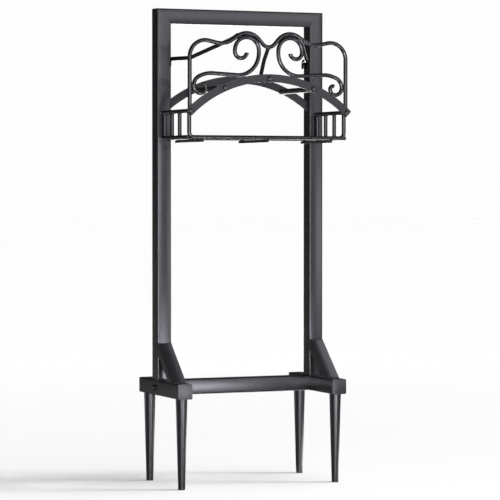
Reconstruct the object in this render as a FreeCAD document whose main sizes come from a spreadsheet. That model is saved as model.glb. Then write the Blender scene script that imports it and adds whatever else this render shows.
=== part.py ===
import FreeCAD, Part
import Sketcher
import math
import os

# Free-standing garden hose hanger: a square-tube stand on four ground stakes, and a wrought rod head
# with a saddle to hang the hose on and an open basket below it. Millimetres, +Z up, +X to the right,
# the head in front on the -Y side. The origin is on the ground, in the middle of the overall box.

SIZES = [
    ("stand_width", 422, "over the outer faces of the two posts"),
    ("stand_height", 1104, "ground to the top of the top bar"),
    ("tube_size", 35, "outside of the square tube"),
    ("tube_wall", 1.8, "wall of the square tube and of the braces"),
    ("tube_corner", 3, "outside corner radius of the square tube"),
    ("stake_height", 208, "ground to the underside of the foot rails"),
    ("rail_front", 148, "post plane to the front end of a foot rail"),
    ("rail_back", 101, "post plane to the rear end of a foot rail"),
    ("cap_plate", 3, "thickness of the end cap outside the tube"),
    ("cap_plug", 12, "length of the end cap inside the tube"),
    ("plug_gap", 0.2, "clearance of plugs inside the tube"),
    ("stake_top", 27, "diameter of a stake at the rail"),
    ("stake_tip", 16, "diameter of a stake at the ground"),
    ("stake_inset", 23.5, "rail end to the axis of a stake"),
    ("stud_size", 8, "diameter of the stud on a stake"),
    ("stud_length", 13, "stud above the underside of the rail"),
    ("nut_size", 15, "diameter over the corners of a stake nut"),
    ("nut_height", 6.5, "height of a stake nut"),
    ("hole_gap", 0.2, "clearance on the diameter of a bolt in its hole"),
    ("brace_thickness", 16, "depth of the flat brace tube"),
    ("brace_rise", 85, "top of a brace above the foot rail"),
    ("brace_run", 92.5, "foot of a brace ahead of the post face"),
    ("side_head_size", 13, "diameter of the crossbar bolt heads"),
    ("side_head_height", 7, "height of the crossbar bolt heads"),
    ("side_bolt_size", 8, "diameter of the crossbar bolts"),
    ("insert_length", 20, "length of the threaded plug in a crossbar end"),
    ("bolt_grip", 14, "depth of a bolt in its tapped hole"),
    ("head_reach", 177, "post plane to the plane of the front loop"),
    ("head_offset", 0.8, "side rods of the head outside the axes of the posts"),
    ("side_rod_drop", 241, "top of the stand to the axis of the basket's top side rods"),
    ("bend_basis", 194.3, "half width of the head for which the loop and scroll are drawn"),
    ("rod_size", 9.5, "diameter of the bent rods"),
    ("weld_gap", 0.1, "rod to rod where they are welded side by side"),
    ("arch_rise", 76.5, "top side rods to the middle line of the front bar's crown"),
    ("arch_bar", 18, "height of the arched bars"),
    ("arch_thickness", 4, "thickness of the arched bars"),
    ("arch_end", 6.0, "front bar past its corner bolts"),
    ("rear_arch_lift", 3, "rear bar above the front bar"),
    ("rear_arch_set", 6, "post plane to the front face of the rear bar"),
    ("spacer_size", 12.5, "diameter of the spacer rods"),
    ("spacer_offset", 110, "middle plane to the outer spacers"),
    ("spacer_drop", 1.5, "spacers below the middle line of the front bar"),
    ("bolt_size", 5, "diameter of the saddle bolts"),
    ("bolt_head_size", 13, "diameter of the saddle bolt heads"),
    ("bolt_head_height", 4, "height of the saddle bolt heads"),
    ("bolt_head_round", 3.2, "rounding of the rim of every bolt head"),
    ("corner_head_size", 12, "diameter of the bolt heads at the saddle corners"),
    ("shoulder_height", 169.2, "top side rods to the corner point of the loop's shoulder"),
    ("shoulder_radius", 38, "bend at the loop's shoulder"),
    ("dip_offset", 107.7, "middle plane to the dip point of the loop"),
    ("dip_fall", 18.5, "shoulder point down to the dip point of the loop"),
    ("dip_radius", 50, "bend at the dip"),
    ("hump_offset", 47.4, "middle plane to the hump point of the loop"),
    ("hump_rise", 39.8, "dip point up to the hump point of the loop"),
    ("valley_fall", 52.6, "hump point down to the valley point of the loop"),
    ("valley_radius", 19.4, "bend at the valley"),
    ("crown_radius", 29.7, "scroll bend under the hump"),
    ("crown_drop", 3, "straight run from the crown to the hook"),
    ("hook_radius", 15, "scroll hook inside the crown"),
    ("hook_turn", 170, "turn of the scroll hook"),
    ("sweep_drop", 5, "straight run from the crown to the sweep"),
    ("sweep_radius", 51.7, "large lower bend of the scroll"),
    ("sweep_rise", 3.2, "slope of the long lower run of the scroll"),
    ("crest_radius", 66, "bend of the scroll over the saddle's shoulder"),
    ("crest_fall", 27.5, "slope at the end of the crest"),
    ("elbow_radius", 24.2, "bend down into the curl"),
    ("curl_radius", 16.6, "first quarter of the end curl"),
    ("curl_inner_radius", 13, "second quarter of the end curl"),
    ("curl_tip_radius", 7.4, "last bend of the end curl"),
    ("curl_tip_turn", 105, "turn of the last bend of the end curl"),
    ("strut_size", 9, "diameter of the middle strut"),
    ("strut_elbow_back", 26.3, "bend of the strut behind the loop plane"),
    ("strut_elbow_height", 118, "top side rods to the bend of the strut"),
    ("strut_foot_back", 50, "foot of the strut behind the loop plane"),
    ("strut_radius", 60, "bend of the middle strut"),
    ("stay_tail_length", 17, "turned down end of a stay on the post"),
    ("stay_tail_back", 7, "turned down end behind the post plane"),
    ("stay_level", 125.5, "top side rods to the level run of a stay"),
    ("stay_bend_offset", 147, "middle plane to the upward bend of a stay"),
    ("stay_bend_ahead", 63, "upward bend of a stay ahead of the post plane"),
    ("stay_meet_offset", 86, "middle plane to where a stay meets the loop"),
    ("stay_end_offset", 71, "middle plane to the front end of a stay"),
    ("stay_tail_radius", 11, "bend at the post end of a stay"),
    ("stay_bend_radius", 40, "upward bend of a stay"),
    ("stay_meet_radius", 12, "bend of a stay behind the loop"),
    ("side_rod_size", 10, "diameter of the basket's top and bottom side rods"),
    ("basket_depth", 59, "top side rods to the bottom rods of the basket"),
    ("basket_set_back", 6.4, "loop plane to the plane of the basket's front rod"),
    ("basket_inset", 1.3, "sides of the basket's front rod inside the side rods"),
    ("basket_corner", 11, "lower corner bend of the basket's front rod"),
    ("upright_size", 9, "diameter of the basket uprights"),
    ("upright_pitch", 47, "spacing of the basket uprights"),
    ("rear_rod_size", 9, "diameter of the basket's rear rod"),
    ("floor_rod_size", 6.2, "diameter of the floor rods"),
    ("floor_rod_inset", 34, "outer floor rods inside the side rods"),
    ("floor_rod_tail", 1, "floor rod past the axis of the front rod"),
    ("floor_rod_reach", 14, "floor rod past the axis of the rear rod"),
]

V = FreeCAD.Vector
SIDES = {"left": -1, "right": 1}

doc = FreeCAD.newDocument("hose_hanger")
sheet = doc.addObject("Spreadsheet::Sheet", "size")
for row, (alias, value, meaning) in enumerate(SIZES, start=1):
    sheet.set(f"A{row}", alias)
    sheet.set(f"B{row}", str(value))
    sheet.setAlias(f"B{row}", alias)
    sheet.set(f"C{row}", meaning)
doc.recompute()

# Places that several pieces share, as expressions on the sheet
HALF_WIDTH = "(size.stand_width / 2)"
POST_X = "(size.stand_width / 2 - size.tube_size / 2)"
RAIL_TOP = "(size.stake_height + size.tube_size)"
FRONT_REACH = "(size.head_reach + size.rod_size / 2 + size.arch_thickness + size.bolt_head_height)"
POST_Y = f"(({FRONT_REACH} - size.rail_back) / 2)"
POST_FACE = f"({POST_Y} - size.tube_size / 2)"
HEAD_Y = f"({POST_Y} - size.head_reach)"
FRONT_ARCH_BACK = f"({HEAD_Y} - size.rod_size / 2)"
REAR_ARCH_FRONT = f"({POST_Y} - size.rear_arch_set)"
SIDE_X = f"({POST_X} + size.head_offset)"
SIDE_Z = "(size.stand_height - size.side_rod_drop)"
FLOOR_Z = f"({SIDE_Z} - size.basket_depth)"
ARCH_MIDDLE = f"(({SIDE_X}^2 + size.arch_rise^2) / (2 * size.arch_rise))"
ARCH_CENTRE = f"({SIDE_Z} + size.arch_rise - {ARCH_MIDDLE})"
BASKET_FRONT = f"({HEAD_Y} + size.basket_set_back)"
REAR_ROD_Y = f"({POST_FACE} - size.upright_size / 2)"
TAPPED = "(size.bolt_size / 2 + size.hole_gap / 2)"
BEND_SCALE = f"({SIDE_X} / size.bend_basis)"
HUMP_RADIUS = f"(size.crown_radius * {BEND_SCALE} + size.rod_size + size.weld_gap)"

nodes = {}
blanks = {}
volume_checks = []


def number(expression):
    """The value of an expression on the sheet, for a path or a sketch."""
    found = sheet.evalExpression(expression)
    return float(getattr(found, "Value", found))


def drawn(alias):
    """A length of the loop and scroll drawing, at the scale that fits the head's width."""
    return number(f"size.{alias} * {BEND_SCALE}")


def bind(thing, **sizes):
    """Binds properties of an object to expressions."""
    for name, expression in sizes.items():
        thing.setExpression(name, expression)
    return thing


def place(thing, x="0", y="0", z="0", axis=V(0, 0, 1), angle=0):
    """Turns an object and binds the three coordinates of its base."""
    thing.Placement = FreeCAD.Placement(V(0, 0, 0), FreeCAD.Rotation(axis, angle))
    thing.setExpression("Placement.Base.x", x)
    thing.setExpression("Placement.Base.y", y)
    thing.setExpression("Placement.Base.z", z)
    return thing


def node(label, thing):
    """Names a finished sub-part; its label becomes its file name."""
    thing.Label = label
    nodes[label] = thing
    return thing


def cylinder(name, radius, length, x, y, z, along="Z"):
    """A round bar from a point, along +X, +Y or +Z."""
    turn = {"X": (V(0, 1, 0), 90), "Y": (V(1, 0, 0), -90), "Z": (V(0, 0, 1), 0)}[along]
    bar = bind(doc.addObject("Part::Cylinder", name), Radius=radius, Height=length)
    return place(bar, x, y, z, *turn)


def cut(name, base, tool):
    """One object cut by another."""
    result = doc.addObject("Part::Cut", name)
    result.Base = base
    result.Tool = tool
    return result


def fuse(name, *parts):
    """Several touching or crossing objects as one solid."""
    result = doc.addObject("Part::MultiFuse", name)
    result.Shapes = list(parts)
    return result


def group(name, parts):
    """Separate like solids that share one node."""
    result = doc.addObject("Part::Compound", name)
    result.Links = list(parts)
    return result


def origin_plane(body, role):
    """The plane of a body's own origin with this role."""
    return next(part for part in body.Origin.OriginFeatures if part.Role == role)


def sketch_on(body, name, role):
    """A sketch of the body on one of its origin planes."""
    drawing = body.newObject("Sketcher::SketchObject", name)
    drawing.AttachmentSupport = (origin_plane(body, role), [""])
    drawing.MapMode = "FlatFace"
    return drawing


def add_polygon(drawing, points):
    """A closed outline of straight lines."""
    corners = [V(a, b, 0) for a, b in points]
    for start, end in zip(corners, corners[1:] + corners[:1]):
        drawing.addGeometry(Part.LineSegment(start, end), False)


def add_rounded_square(drawing, side, corner):
    """A centred square outline with rounded corners, its side and radius bound to the sheet."""
    first = len(drawing.Geometry)
    half = number(side) / 2
    radius = number(corner)
    flat = half - radius
    for quarter in range(4):
        turn = FreeCAD.Rotation(V(0, 0, 1), 90 * quarter)
        line_ends = [turn.multVec(V(sign * flat, -half, 0)) for sign in (-1, 1)]
        centre = turn.multVec(V(flat, -flat, 0))
        circle = Part.Circle(centre, V(0, 0, 1), radius)
        start = math.radians(90 * quarter - 90)
        drawing.addGeometry(Part.LineSegment(*line_ends), False)
        drawing.addGeometry(Part.ArcOfCircle(circle, start, start + math.pi / 2), False)
    lines = [first + 2 * quarter for quarter in range(4)]
    for quarter, line in enumerate(lines):
        drawing.addConstraint(Sketcher.Constraint("Tangent", line, 2, line + 1, 1))
        drawing.addConstraint(Sketcher.Constraint("Tangent", line + 1, 2, lines[(quarter + 1) % 4], 1))
        direction = "Vertical" if quarter % 2 else "Horizontal"
        drawing.addConstraint(Sketcher.Constraint(direction, line))
        if quarter:
            drawing.addConstraint(Sketcher.Constraint("Equal", lines[0] + 1, line + 1))
    drawing.addConstraint(Sketcher.Constraint("Symmetric", lines[0], 1, lines[2], 1, -1, 1))
    bound = [
        (Sketcher.Constraint("DistanceX", lines[3], 1, lines[1], 1, 2 * half), side),
        (Sketcher.Constraint("DistanceY", lines[0], 1, lines[2], 1, 2 * half), side),
        (Sketcher.Constraint("Radius", lines[0] + 1, radius), corner),
    ]
    for constraint, expression in bound:
        index = drawing.addConstraint(constraint)
        drawing.setExpression(f"Constraints[{index}]", expression)


def add_plug_outline(drawing):
    """The outline of a plug that fits inside the square tube."""
    inner_corner = "size.tube_corner - size.tube_wall"
    add_rounded_square(drawing, "size.tube_size - 2 * size.tube_wall - size.plug_gap", inner_corner)


def pad(body, name, drawing, length, both_ways=False):
    """A pad of a sketch, from its plane or to both sides of it."""
    feature = body.newObject("PartDesign::Pad", name)
    feature.Profile = drawing
    feature.SideType = "Symmetric" if both_ways else "One side"
    return bind(feature, Length=length)


def square_tube(name, length, x, y, z, along="Z"):
    """A hollow square tube with rounded corners, from a point along an axis."""
    body = doc.addObject("PartDesign::Body", name)
    section = sketch_on(body, name + "_section", "XY_Plane")
    add_rounded_square(section, "size.tube_size", "size.tube_corner")
    add_rounded_square(section, "size.tube_size - 2 * size.tube_wall", "size.tube_corner - size.tube_wall")
    pad(body, name + "_pad", section, length)
    turn = {"X": (V(0, 1, 0), 90), "Y": (V(1, 0, 0), -90), "Z": (V(0, 0, 1), 0)}[along]
    return place(body, x, y, z, *turn)


def rounded_edges(points, radii):
    """Straight edges through the points, with a tangent arc at each inner point."""
    edges = []
    start = points[0]
    for before, corner, after, radius in zip(points, points[1:], points[2:], radii):
        back = (before - corner).normalize()
        ahead = (after - corner).normalize()
        half = back.getAngle(ahead) / 2
        trim = radius / math.tan(half)
        arc_start = corner + back * trim
        arc_end = corner + ahead * trim
        centre = corner + (back + ahead).normalize() * (radius / math.sin(half))
        middle = centre + (corner - centre).normalize() * radius
        edges.append(Part.LineSegment(start, arc_start).toShape())
        edges.append(Part.Arc(arc_start, middle, arc_end).toShape())
        start = arc_end
    edges.append(Part.LineSegment(start, points[-1]).toShape())
    return edges


def traced_edges(start, heading, legs):
    """Edges in the XZ plane from a start and a heading in degrees: runs, and bends by (radius, turn)."""
    edges = []
    point = V(start)
    for leg in legs:
        if isinstance(leg, tuple):
            radius, turn = leg
            side = math.copysign(1, turn)
            outward = math.radians(heading - 90 * side)
            centre = point - V(math.cos(outward), 0, math.sin(outward)) * radius
            spots = []
            for share in (0.5, 1):
                angle = outward + math.radians(turn * share)
                spots.append(centre + V(math.cos(angle), 0, math.sin(angle)) * radius)
            edges.append(Part.Arc(point, *spots).toShape())
            heading += turn
            point = spots[1]
        else:
            angle = math.radians(heading)
            end = point + V(math.cos(angle), 0, math.sin(angle)) * leg
            edges.append(Part.LineSegment(point, end).toShape())
            point = end
    return edges, point


def bent_rod(name, edges, diameter, x="0", y="0", z="0"):
    """A round rod swept along edges of straight runs and tangent arcs."""
    wire = Part.Wire(edges)
    path = doc.addObject("Part::Feature", name + "_path")
    path.Shape = wire
    first = edges[0]
    tangent = first.tangentAt(first.FirstParameter)
    section = doc.addObject("Part::Circle", name + "_section")
    section.Placement = FreeCAD.Placement(first.Vertexes[0].Point, FreeCAD.Rotation(V(0, 0, 1), tangent))
    bind(section, Radius=f"{diameter} / 2")
    sweep = doc.addObject("Part::Sweep", name)
    sweep.Sections = [section]
    sweep.Spine = (path, [f"Edge{index + 1}" for index in range(len(edges))])
    sweep.Solid = True
    sweep.Frenet = True
    place(sweep, x, y, z)
    expected = wire.Length * math.pi * number(diameter) ** 2 / 4
    volume_checks.append((sweep, expected))
    return sweep


def round_rim(name, bar):
    """A bolt head with the rim of its outer face rounded."""
    doc.recompute()
    feature = doc.addObject("Part::Fillet", name)
    feature.Base = bar
    head_height = number("size.bolt_head_height")
    axis = bar.Placement.Rotation.multVec(V(0, 0, 1))
    radius = number("size.bolt_head_round")
    rims = []
    for index, edge in enumerate(bar.Shape.Edges):
        height = (edge.CenterOfMass - bar.Placement.Base).dot(axis)
        if edge.isClosed() and height > head_height / 2:
            rims.append((index + 1, radius, radius))
    feature.Edges = rims
    return feature


def bolt(name, head_size, head_height, shank_size, shank_length, x, y, z, outward):
    """A round-headed bolt; the head stands outward from the point and the shank goes the other way."""
    turns = {
        "-Y": (V(1, 0, 0), 90),
        "+Y": (V(1, 0, 0), -90),
        "+X": (V(0, 1, 0), 90),
        "-X": (V(0, 1, 0), -90),
    }
    step = {"-Y": (0, 1), "+Y": (0, -1), "+X": (-1, 0), "-X": (1, 0)}[outward]
    head = doc.addObject("Part::Cylinder", name + "_disc")
    bind(head, Radius=f"{head_size} / 2", Height=head_height)
    place(head, x, y, z, *turns[outward])
    shank = doc.addObject("Part::Cylinder", name + "_shank")
    bind(shank, Radius=f"{shank_size} / 2", Height=shank_length)
    shank_x = f"{x} + {step[0]} * ({shank_length})"
    shank_y = f"{y} + {step[1]} * ({shank_length})"
    place(shank, shank_x, shank_y, z, *turns[outward])
    return fuse(name, round_rim(name + "_head", head), shank)


def half_space(name, x, z, angle):
    """A large block beyond a plane through a point, turned about Y; it trims a mitre."""
    block = doc.addObject("Part::Box", name)
    bind(block, Length="4 * size.tube_size", Width="4 * size.tube_size", Height="3 * size.tube_size")
    base_x = f"{x} - 2 * size.tube_size * cos({angle} deg)"
    base_z = f"{z} + 2 * size.tube_size * sin({angle} deg)"
    return place(block, base_x, f"{POST_Y} - 2 * size.tube_size", base_z, V(0, 1, 0), angle)


def make_posts():
    """The two posts, mitred at the top and drilled for the bolts that hold the head."""
    for side, sign in SIDES.items():
        length = f"size.stand_height - {RAIL_TOP}"
        tube = square_tube(side + "_post_tube", length, f"{sign} * {POST_X}", POST_Y, RAIL_TOP)
        trim = half_space(side + "_post_trim", f"{sign} * {HALF_WIDTH}", "size.stand_height", -45 * sign)
        mitred = cut(side + "_post_mitred", tube, trim)
        drill = cylinder(
            side + "_post_drill",
            TAPPED,
            "2 * size.tube_size",
            f"{sign} * {SIDE_X}",
            f"{POST_Y} - size.tube_size",
            SIDE_Z,
            "Y",
        )
        node(side + "_post", cut(side + "_post", mitred, drill))


def make_top_bar():
    """The bar between the post tops, mitred at both ends."""
    bar = square_tube(
        "top_bar_tube",
        "size.stand_width",
        f"-{HALF_WIDTH}",
        POST_Y,
        "size.stand_height - size.tube_size / 2",
        "X",
    )
    for side, sign in SIDES.items():
        trim = half_space(
            side + "_bar_trim", f"{sign} * {HALF_WIDTH}", "size.stand_height", 180 - 45 * sign
        )
        bar = cut("top_bar_" + side, bar, trim)
    node("top_bar", bar)


def make_rails():
    """The foot rails with their end caps, and the crossbar between them."""
    length = "size.rail_front + size.rail_back - 2 * size.cap_plate"
    start = f"{POST_Y} - size.rail_front + size.cap_plate"
    middle = "size.stake_height + size.tube_size / 2"
    for side, sign in SIDES.items():
        rail_x = f"{sign} * {POST_X}"
        rail = square_tube(side + "_rail_tube", length, rail_x, start, middle, "Y")
        for end, stake_y in stake_places().items():
            hole = cylinder(
                f"{side}_{end}_stud_hole",
                "size.stud_size / 2 + size.hole_gap / 2",
                "size.tube_size / 2",
                rail_x,
                stake_y,
                "size.stake_height - size.tube_size / 4",
            )
            rail = cut(f"{side}_rail_{end}_drilled", rail, hole)
        side_hole = cylinder(
            side + "_rail_side_hole",
            "size.side_bolt_size / 2 + size.hole_gap / 2",
            "2 * size.tube_size",
            f"{rail_x} - size.tube_size",
            POST_Y,
            middle,
            "X",
        )
        node(side + "_foot_rail", cut(side + "_foot_rail", rail, side_hole))
        for end, back in (("front", False), ("rear", True)):
            make_cap(side, end, rail_x, middle, back)
    inner_width = "size.stand_width - 2 * size.tube_size"
    node(
        "cross_bar",
        square_tube("cross_bar", inner_width, f"-({inner_width}) / 2", POST_Y, middle, "X"),
    )


def make_cap(side, end, x, z, back):
    """One end cap: a plate flush with the tube outside and a plug inside it."""
    name = f"{side}_{end}_cap"
    body = doc.addObject("PartDesign::Body", name)
    plate = sketch_on(body, name + "_outline", "XY_Plane")
    add_rounded_square(plate, "size.tube_size", "size.tube_corner")
    pad(body, name + "_plate", plate, "size.cap_plate")
    plug = sketch_on(body, name + "_plug_outline", "XY_Plane")
    add_plug_outline(plug)
    pad(body, name + "_plug", plug, "size.cap_plate + size.cap_plug")
    if back:
        place(body, x, f"{POST_Y} + size.rail_back", z, V(1, 0, 0), 90)
    else:
        place(body, x, f"{POST_Y} - size.rail_front", z, V(1, 0, 0), -90)
    node(name, body)


def stake_places():
    """Where the stakes stand along a rail."""
    return {
        "front": f"{POST_Y} - size.rail_front + size.stake_inset",
        "rear": f"{POST_Y} + size.rail_back - size.stake_inset",
    }


def make_stakes():
    """Four tapered stakes, each with a stud through the rail and a nut inside it."""
    nuts = []
    for side, sign in SIDES.items():
        for end, stake_y in stake_places().items():
            name = f"{side}_{end}_stake"
            stake_x = f"{sign} * {POST_X}"
            cone = bind(
                doc.addObject("Part::Cone", name + "_taper"),
                Radius1="size.stake_tip / 2",
                Radius2="size.stake_top / 2",
                Height="size.stake_height",
            )
            place(cone, stake_x, stake_y, "0")
            stud = cylinder(
                name + "_stud",
                "size.stud_size / 2",
                "size.stake_height / 2 + size.stud_length",
                stake_x,
                stake_y,
                "size.stake_height / 2",
            )
            node(name, fuse(name, cone, stud))
            blank = bind(
                doc.addObject("Part::Prism", name + "_nut_blank"),
                Circumradius="size.nut_size / 2",
                Height="size.nut_height",
            )
            blank.Polygon = 6
            place(blank, stake_x, stake_y, "size.stake_height + size.tube_wall")
            bore = cylinder(
                name + "_nut_bore",
                "size.stud_size / 2 + size.hole_gap / 2",
                "2 * size.nut_height",
                stake_x,
                stake_y,
                "size.stake_height + size.tube_wall - size.nut_height / 2",
            )
            nuts.append(cut(name + "_nut", blank, bore))
    node("stake_nuts", group("stake_nuts", nuts))


def make_braces():
    """The two slanting braces, of flat tube with its ends cut to the rail and the post."""
    rise = number("size.brace_rise")
    run = number("size.brace_run")
    slope = math.hypot(rise, run)
    thickness = number("size.brace_thickness")
    wall = number("size.tube_wall")

    def outline(near, far, spare):
        """The side outline between two depths below the front face, past its ends by a spare."""
        corners = []
        for depth, ends in ((near, (0, 1)), (far, (1, 0))):
            drop = depth * slope / run
            for end in ends:
                along = -spare + end * (run + 2 * spare)
                corners.append((-along, rise - drop - along * rise / run))
        return corners

    for side, sign in SIDES.items():
        name = side + "_brace"
        body = doc.addObject("PartDesign::Body", name + "_body")
        solid = sketch_on(body, name + "_outline", "YZ_Plane")
        add_polygon(solid, outline(0, thickness, thickness))
        pad(body, name + "_pad", solid, "size.tube_size", both_ways=True)
        doc.recompute()
        hollow = sketch_on(body, name + "_bore_outline", "YZ_Plane")
        add_polygon(hollow, outline(wall, thickness - wall, 2 * thickness))
        bore = body.newObject("PartDesign::Pocket", name + "_bore")
        bore.Profile = hollow
        bore.SideType = "Symmetric"
        bind(bore, Length="size.tube_size - 2 * size.tube_wall")
        place(body, f"{sign} * {POST_X}", POST_FACE, RAIL_TOP)
        room = bind(
            doc.addObject("Part::Box", name + "_room"),
            Length="2 * size.tube_size",
            Width="size.brace_run + size.tube_size",
            Height="size.brace_rise + size.tube_size",
        )
        place(
            room,
            f"{sign} * {POST_X} - size.tube_size",
            f"{POST_FACE} - size.brace_run - size.tube_size",
            RAIL_TOP,
        )
        trimmed = doc.addObject("Part::Common", name)
        trimmed.Base = body
        trimmed.Tool = room
        node(name, trimmed)


def make_side_bolts():
    """The bolts through the foot rails, and the threaded plugs in the crossbar that they grip."""
    middle = "size.stake_height + size.tube_size / 2"
    inserts = []
    for side, sign in SIDES.items():
        outward = "+X" if sign > 0 else "-X"
        made = bolt(
            side + "_side_bolt",
            "size.side_head_size",
            "size.side_head_height",
            "size.side_bolt_size",
            "size.tube_size + size.bolt_grip",
            f"{sign} * {HALF_WIDTH}",
            POST_Y,
            middle,
            outward,
        )
        node(side + "_side_bolt", made)
        inner_end = f"{sign} * ({HALF_WIDTH} - size.tube_size)"
        start = inner_end if sign < 0 else f"{inner_end} - size.insert_length"
        block = doc.addObject("PartDesign::Body", side + "_insert_block")
        outline = sketch_on(block, side + "_insert_outline", "XY_Plane")
        add_plug_outline(outline)
        pad(block, side + "_insert_pad", outline, "size.insert_length")
        place(block, start, POST_Y, middle, V(0, 1, 0), 90)
        thread = cylinder(
            side + "_insert_thread",
            "size.side_bolt_size / 2 + size.hole_gap / 2",
            "2 * size.insert_length",
            f"{start} - size.insert_length / 2",
            POST_Y,
            middle,
            "X",
        )
        inserts.append(cut(side + "_insert", block, thread))
    node("cross_bar_inserts", group("cross_bar_inserts", inserts))


def loop_points():
    """The corner points of the front loop, from the left end to the right end."""
    half = number(SIDE_X)
    base = number(SIDE_Z)
    shoulder = base + drawn("shoulder_height")
    dip = shoulder - drawn("dip_fall")
    hump = dip + drawn("hump_rise")
    valley = hump - drawn("valley_fall")
    right = [
        V(half, 0, base),
        V(half, 0, shoulder),
        V(drawn("dip_offset"), 0, dip),
        V(drawn("hump_offset"), 0, hump),
    ]
    left = [V(-point.x, 0, point.z) for point in right]
    return left + [V(0, 0, valley)] + right[::-1]


def loop_radii():
    """The bends at the inner corner points of the front loop."""
    side = [drawn("shoulder_radius"), drawn("dip_radius"), number(HUMP_RADIUS)]
    return side + [drawn("valley_radius")] + side[::-1]


def hump_centre():
    """The centre of the bend at the right hump, which the scroll's crown shares."""
    valley, corner, dip = loop_points()[4:7]
    back = (valley - corner).normalize()
    ahead = (dip - corner).normalize()
    half = back.getAngle(ahead) / 2
    return corner + (back + ahead).normalize() * (number(HUMP_RADIUS) / math.sin(half))


def make_front_loop():
    """The wavy rod that frames the front of the head, with its feet on the top side rods."""
    rod = bent_rod("front_loop_rod", rounded_edges(loop_points(), loop_radii()), "size.rod_size", y=HEAD_Y)
    for side in SIDES:
        rod = cut("front_loop_" + side, rod, blanks[side + "_top_rod"])
    node("front_loop", rod)


def scroll_edges(sign):
    """The path of one scroll, from the tip of its hook to the tip of its end curl."""
    centre = hump_centre()
    crown = drawn("crown_radius")
    top = V(centre.x, 0, centre.z + crown)
    hook_legs = [
        (crown, -90),
        drawn("crown_drop"),
        (drawn("hook_radius"), -number("size.hook_turn")),
    ]
    hook, _ = traced_edges(top, 0, hook_legs)
    rise = number("size.sweep_rise")
    fall = number("size.crest_fall")
    sweep_legs = [
        (crown, 90),
        drawn("sweep_drop"),
        (drawn("sweep_radius"), 90 + rise),
    ]
    crest_legs = [
        (drawn("crest_radius"), -rise - fall),
        (drawn("elbow_radius"), fall - 90),
    ]
    curl_legs = [
        (drawn("curl_radius"), -90),
        (drawn("curl_inner_radius"), -90),
        (drawn("curl_tip_radius"), -number("size.curl_tip_turn")),
    ]
    _, sweep_end = traced_edges(top, 180, sweep_legs)
    _, crest_end = traced_edges(V(0, 0, 0), rise, crest_legs)
    outer_side = number(f"{SIDE_X} - size.rod_size - size.weld_gap")
    run = (outer_side - crest_end.x - sweep_end.x) / math.cos(math.radians(rise))
    body, _ = traced_edges(top, 180, sweep_legs + [run] + crest_legs + curl_legs)
    edges = [reversed_edge(edge) for edge in reversed(hook)] + body
    return [mirrored_edge(edge) for edge in edges] if sign < 0 else edges


def edge_spots(edge):
    """The start, middle and end of an edge of a path."""
    low, high = edge.FirstParameter, edge.LastParameter
    return [edge.valueAt(low), edge.valueAt((low + high) / 2), edge.valueAt(high)]


def edge_through(edge, spots):
    """A line or an arc like the given edge, through other spots."""
    if isinstance(edge.Curve, Part.Line):
        return Part.LineSegment(spots[0], spots[-1]).toShape()
    return Part.Arc(*spots).toShape()


def reversed_edge(edge):
    """The same edge, run the other way."""
    return edge_through(edge, edge_spots(edge)[::-1])


def mirrored_edge(edge):
    """The edge on the other side of the middle plane."""
    return edge_through(edge, [V(-spot.x, spot.y, spot.z) for spot in edge_spots(edge)])


def make_scrolls():
    """The two scrolls inside the loop: a hook under each hump and a curl at each side rod."""
    for side, sign in SIDES.items():
        node(side + "_scroll", bent_rod(side + "_scroll", scroll_edges(sign), "size.rod_size", y=HEAD_Y))


def spacer_places():
    """The spacers' names and their places, as expressions of X and Z."""
    places = {}
    for name, sign in (("left", -1), ("centre", 0), ("right", 1)):
        drop = f"sqrt({ARCH_MIDDLE}^2 - ({sign} * size.spacer_offset)^2)"
        places[name] = (f"{sign} * size.spacer_offset", f"{ARCH_CENTRE} - size.spacer_drop + {drop}")
    return places


def arch_body(name, y, lift, half_angle):
    """One arched flat bar on edge, with its front face at this depth."""
    body = doc.addObject("PartDesign::Body", name + "_bar")
    outline = sketch_on(body, name + "_outline", "XZ_Plane")
    middle = number(ARCH_MIDDLE)
    half_bar = number("size.arch_bar / 2")
    low, high = math.pi / 2 - half_angle, math.pi / 2 + half_angle
    ends = []
    for radius in (middle + half_bar, middle - half_bar):
        circle = Part.Circle(V(0, 0, 0), V(0, 0, 1), radius)
        outline.addGeometry(Part.ArcOfCircle(circle, low, high), False)
        ends.append([V(radius * math.cos(turn), radius * math.sin(turn), 0) for turn in (low, high)])
    for outer_end, inner_end in zip(*ends):
        outline.addGeometry(Part.LineSegment(outer_end, inner_end), False)
    pad(body, name + "_pad", outline, "size.arch_thickness")
    return place(body, "0", f"{y} + size.arch_thickness", f"{ARCH_CENTRE} + {lift}")


def drilled_arch(name, bar, y, holes):
    """A bar drilled through at each named place of X and Z."""
    for station, (x, z) in holes.items():
        drill = cylinder(
            f"{name}_{station}_drill",
            TAPPED,
            "3 * size.arch_thickness",
            x,
            f"{y} - size.arch_thickness",
            z,
            "Y",
        )
        bar = cut(f"{name}_{station}", bar, drill)
    return node(name, bar)


def make_front_arch():
    """The front bar, drilled for the spacer bolts and for the corner bolts in the side rods."""
    y = f"({FRONT_ARCH_BACK} - size.arch_thickness)"
    middle = number(ARCH_MIDDLE)
    half_angle = math.asin(number(SIDE_X) / middle) + number("size.arch_end") / middle
    holes = spacer_places()
    for side, sign in SIDES.items():
        holes[side + "_corner"] = (f"{sign} * {SIDE_X}", SIDE_Z)
    drilled_arch("front_arch", arch_body("front_arch", y, "0", half_angle), y, holes)


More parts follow.
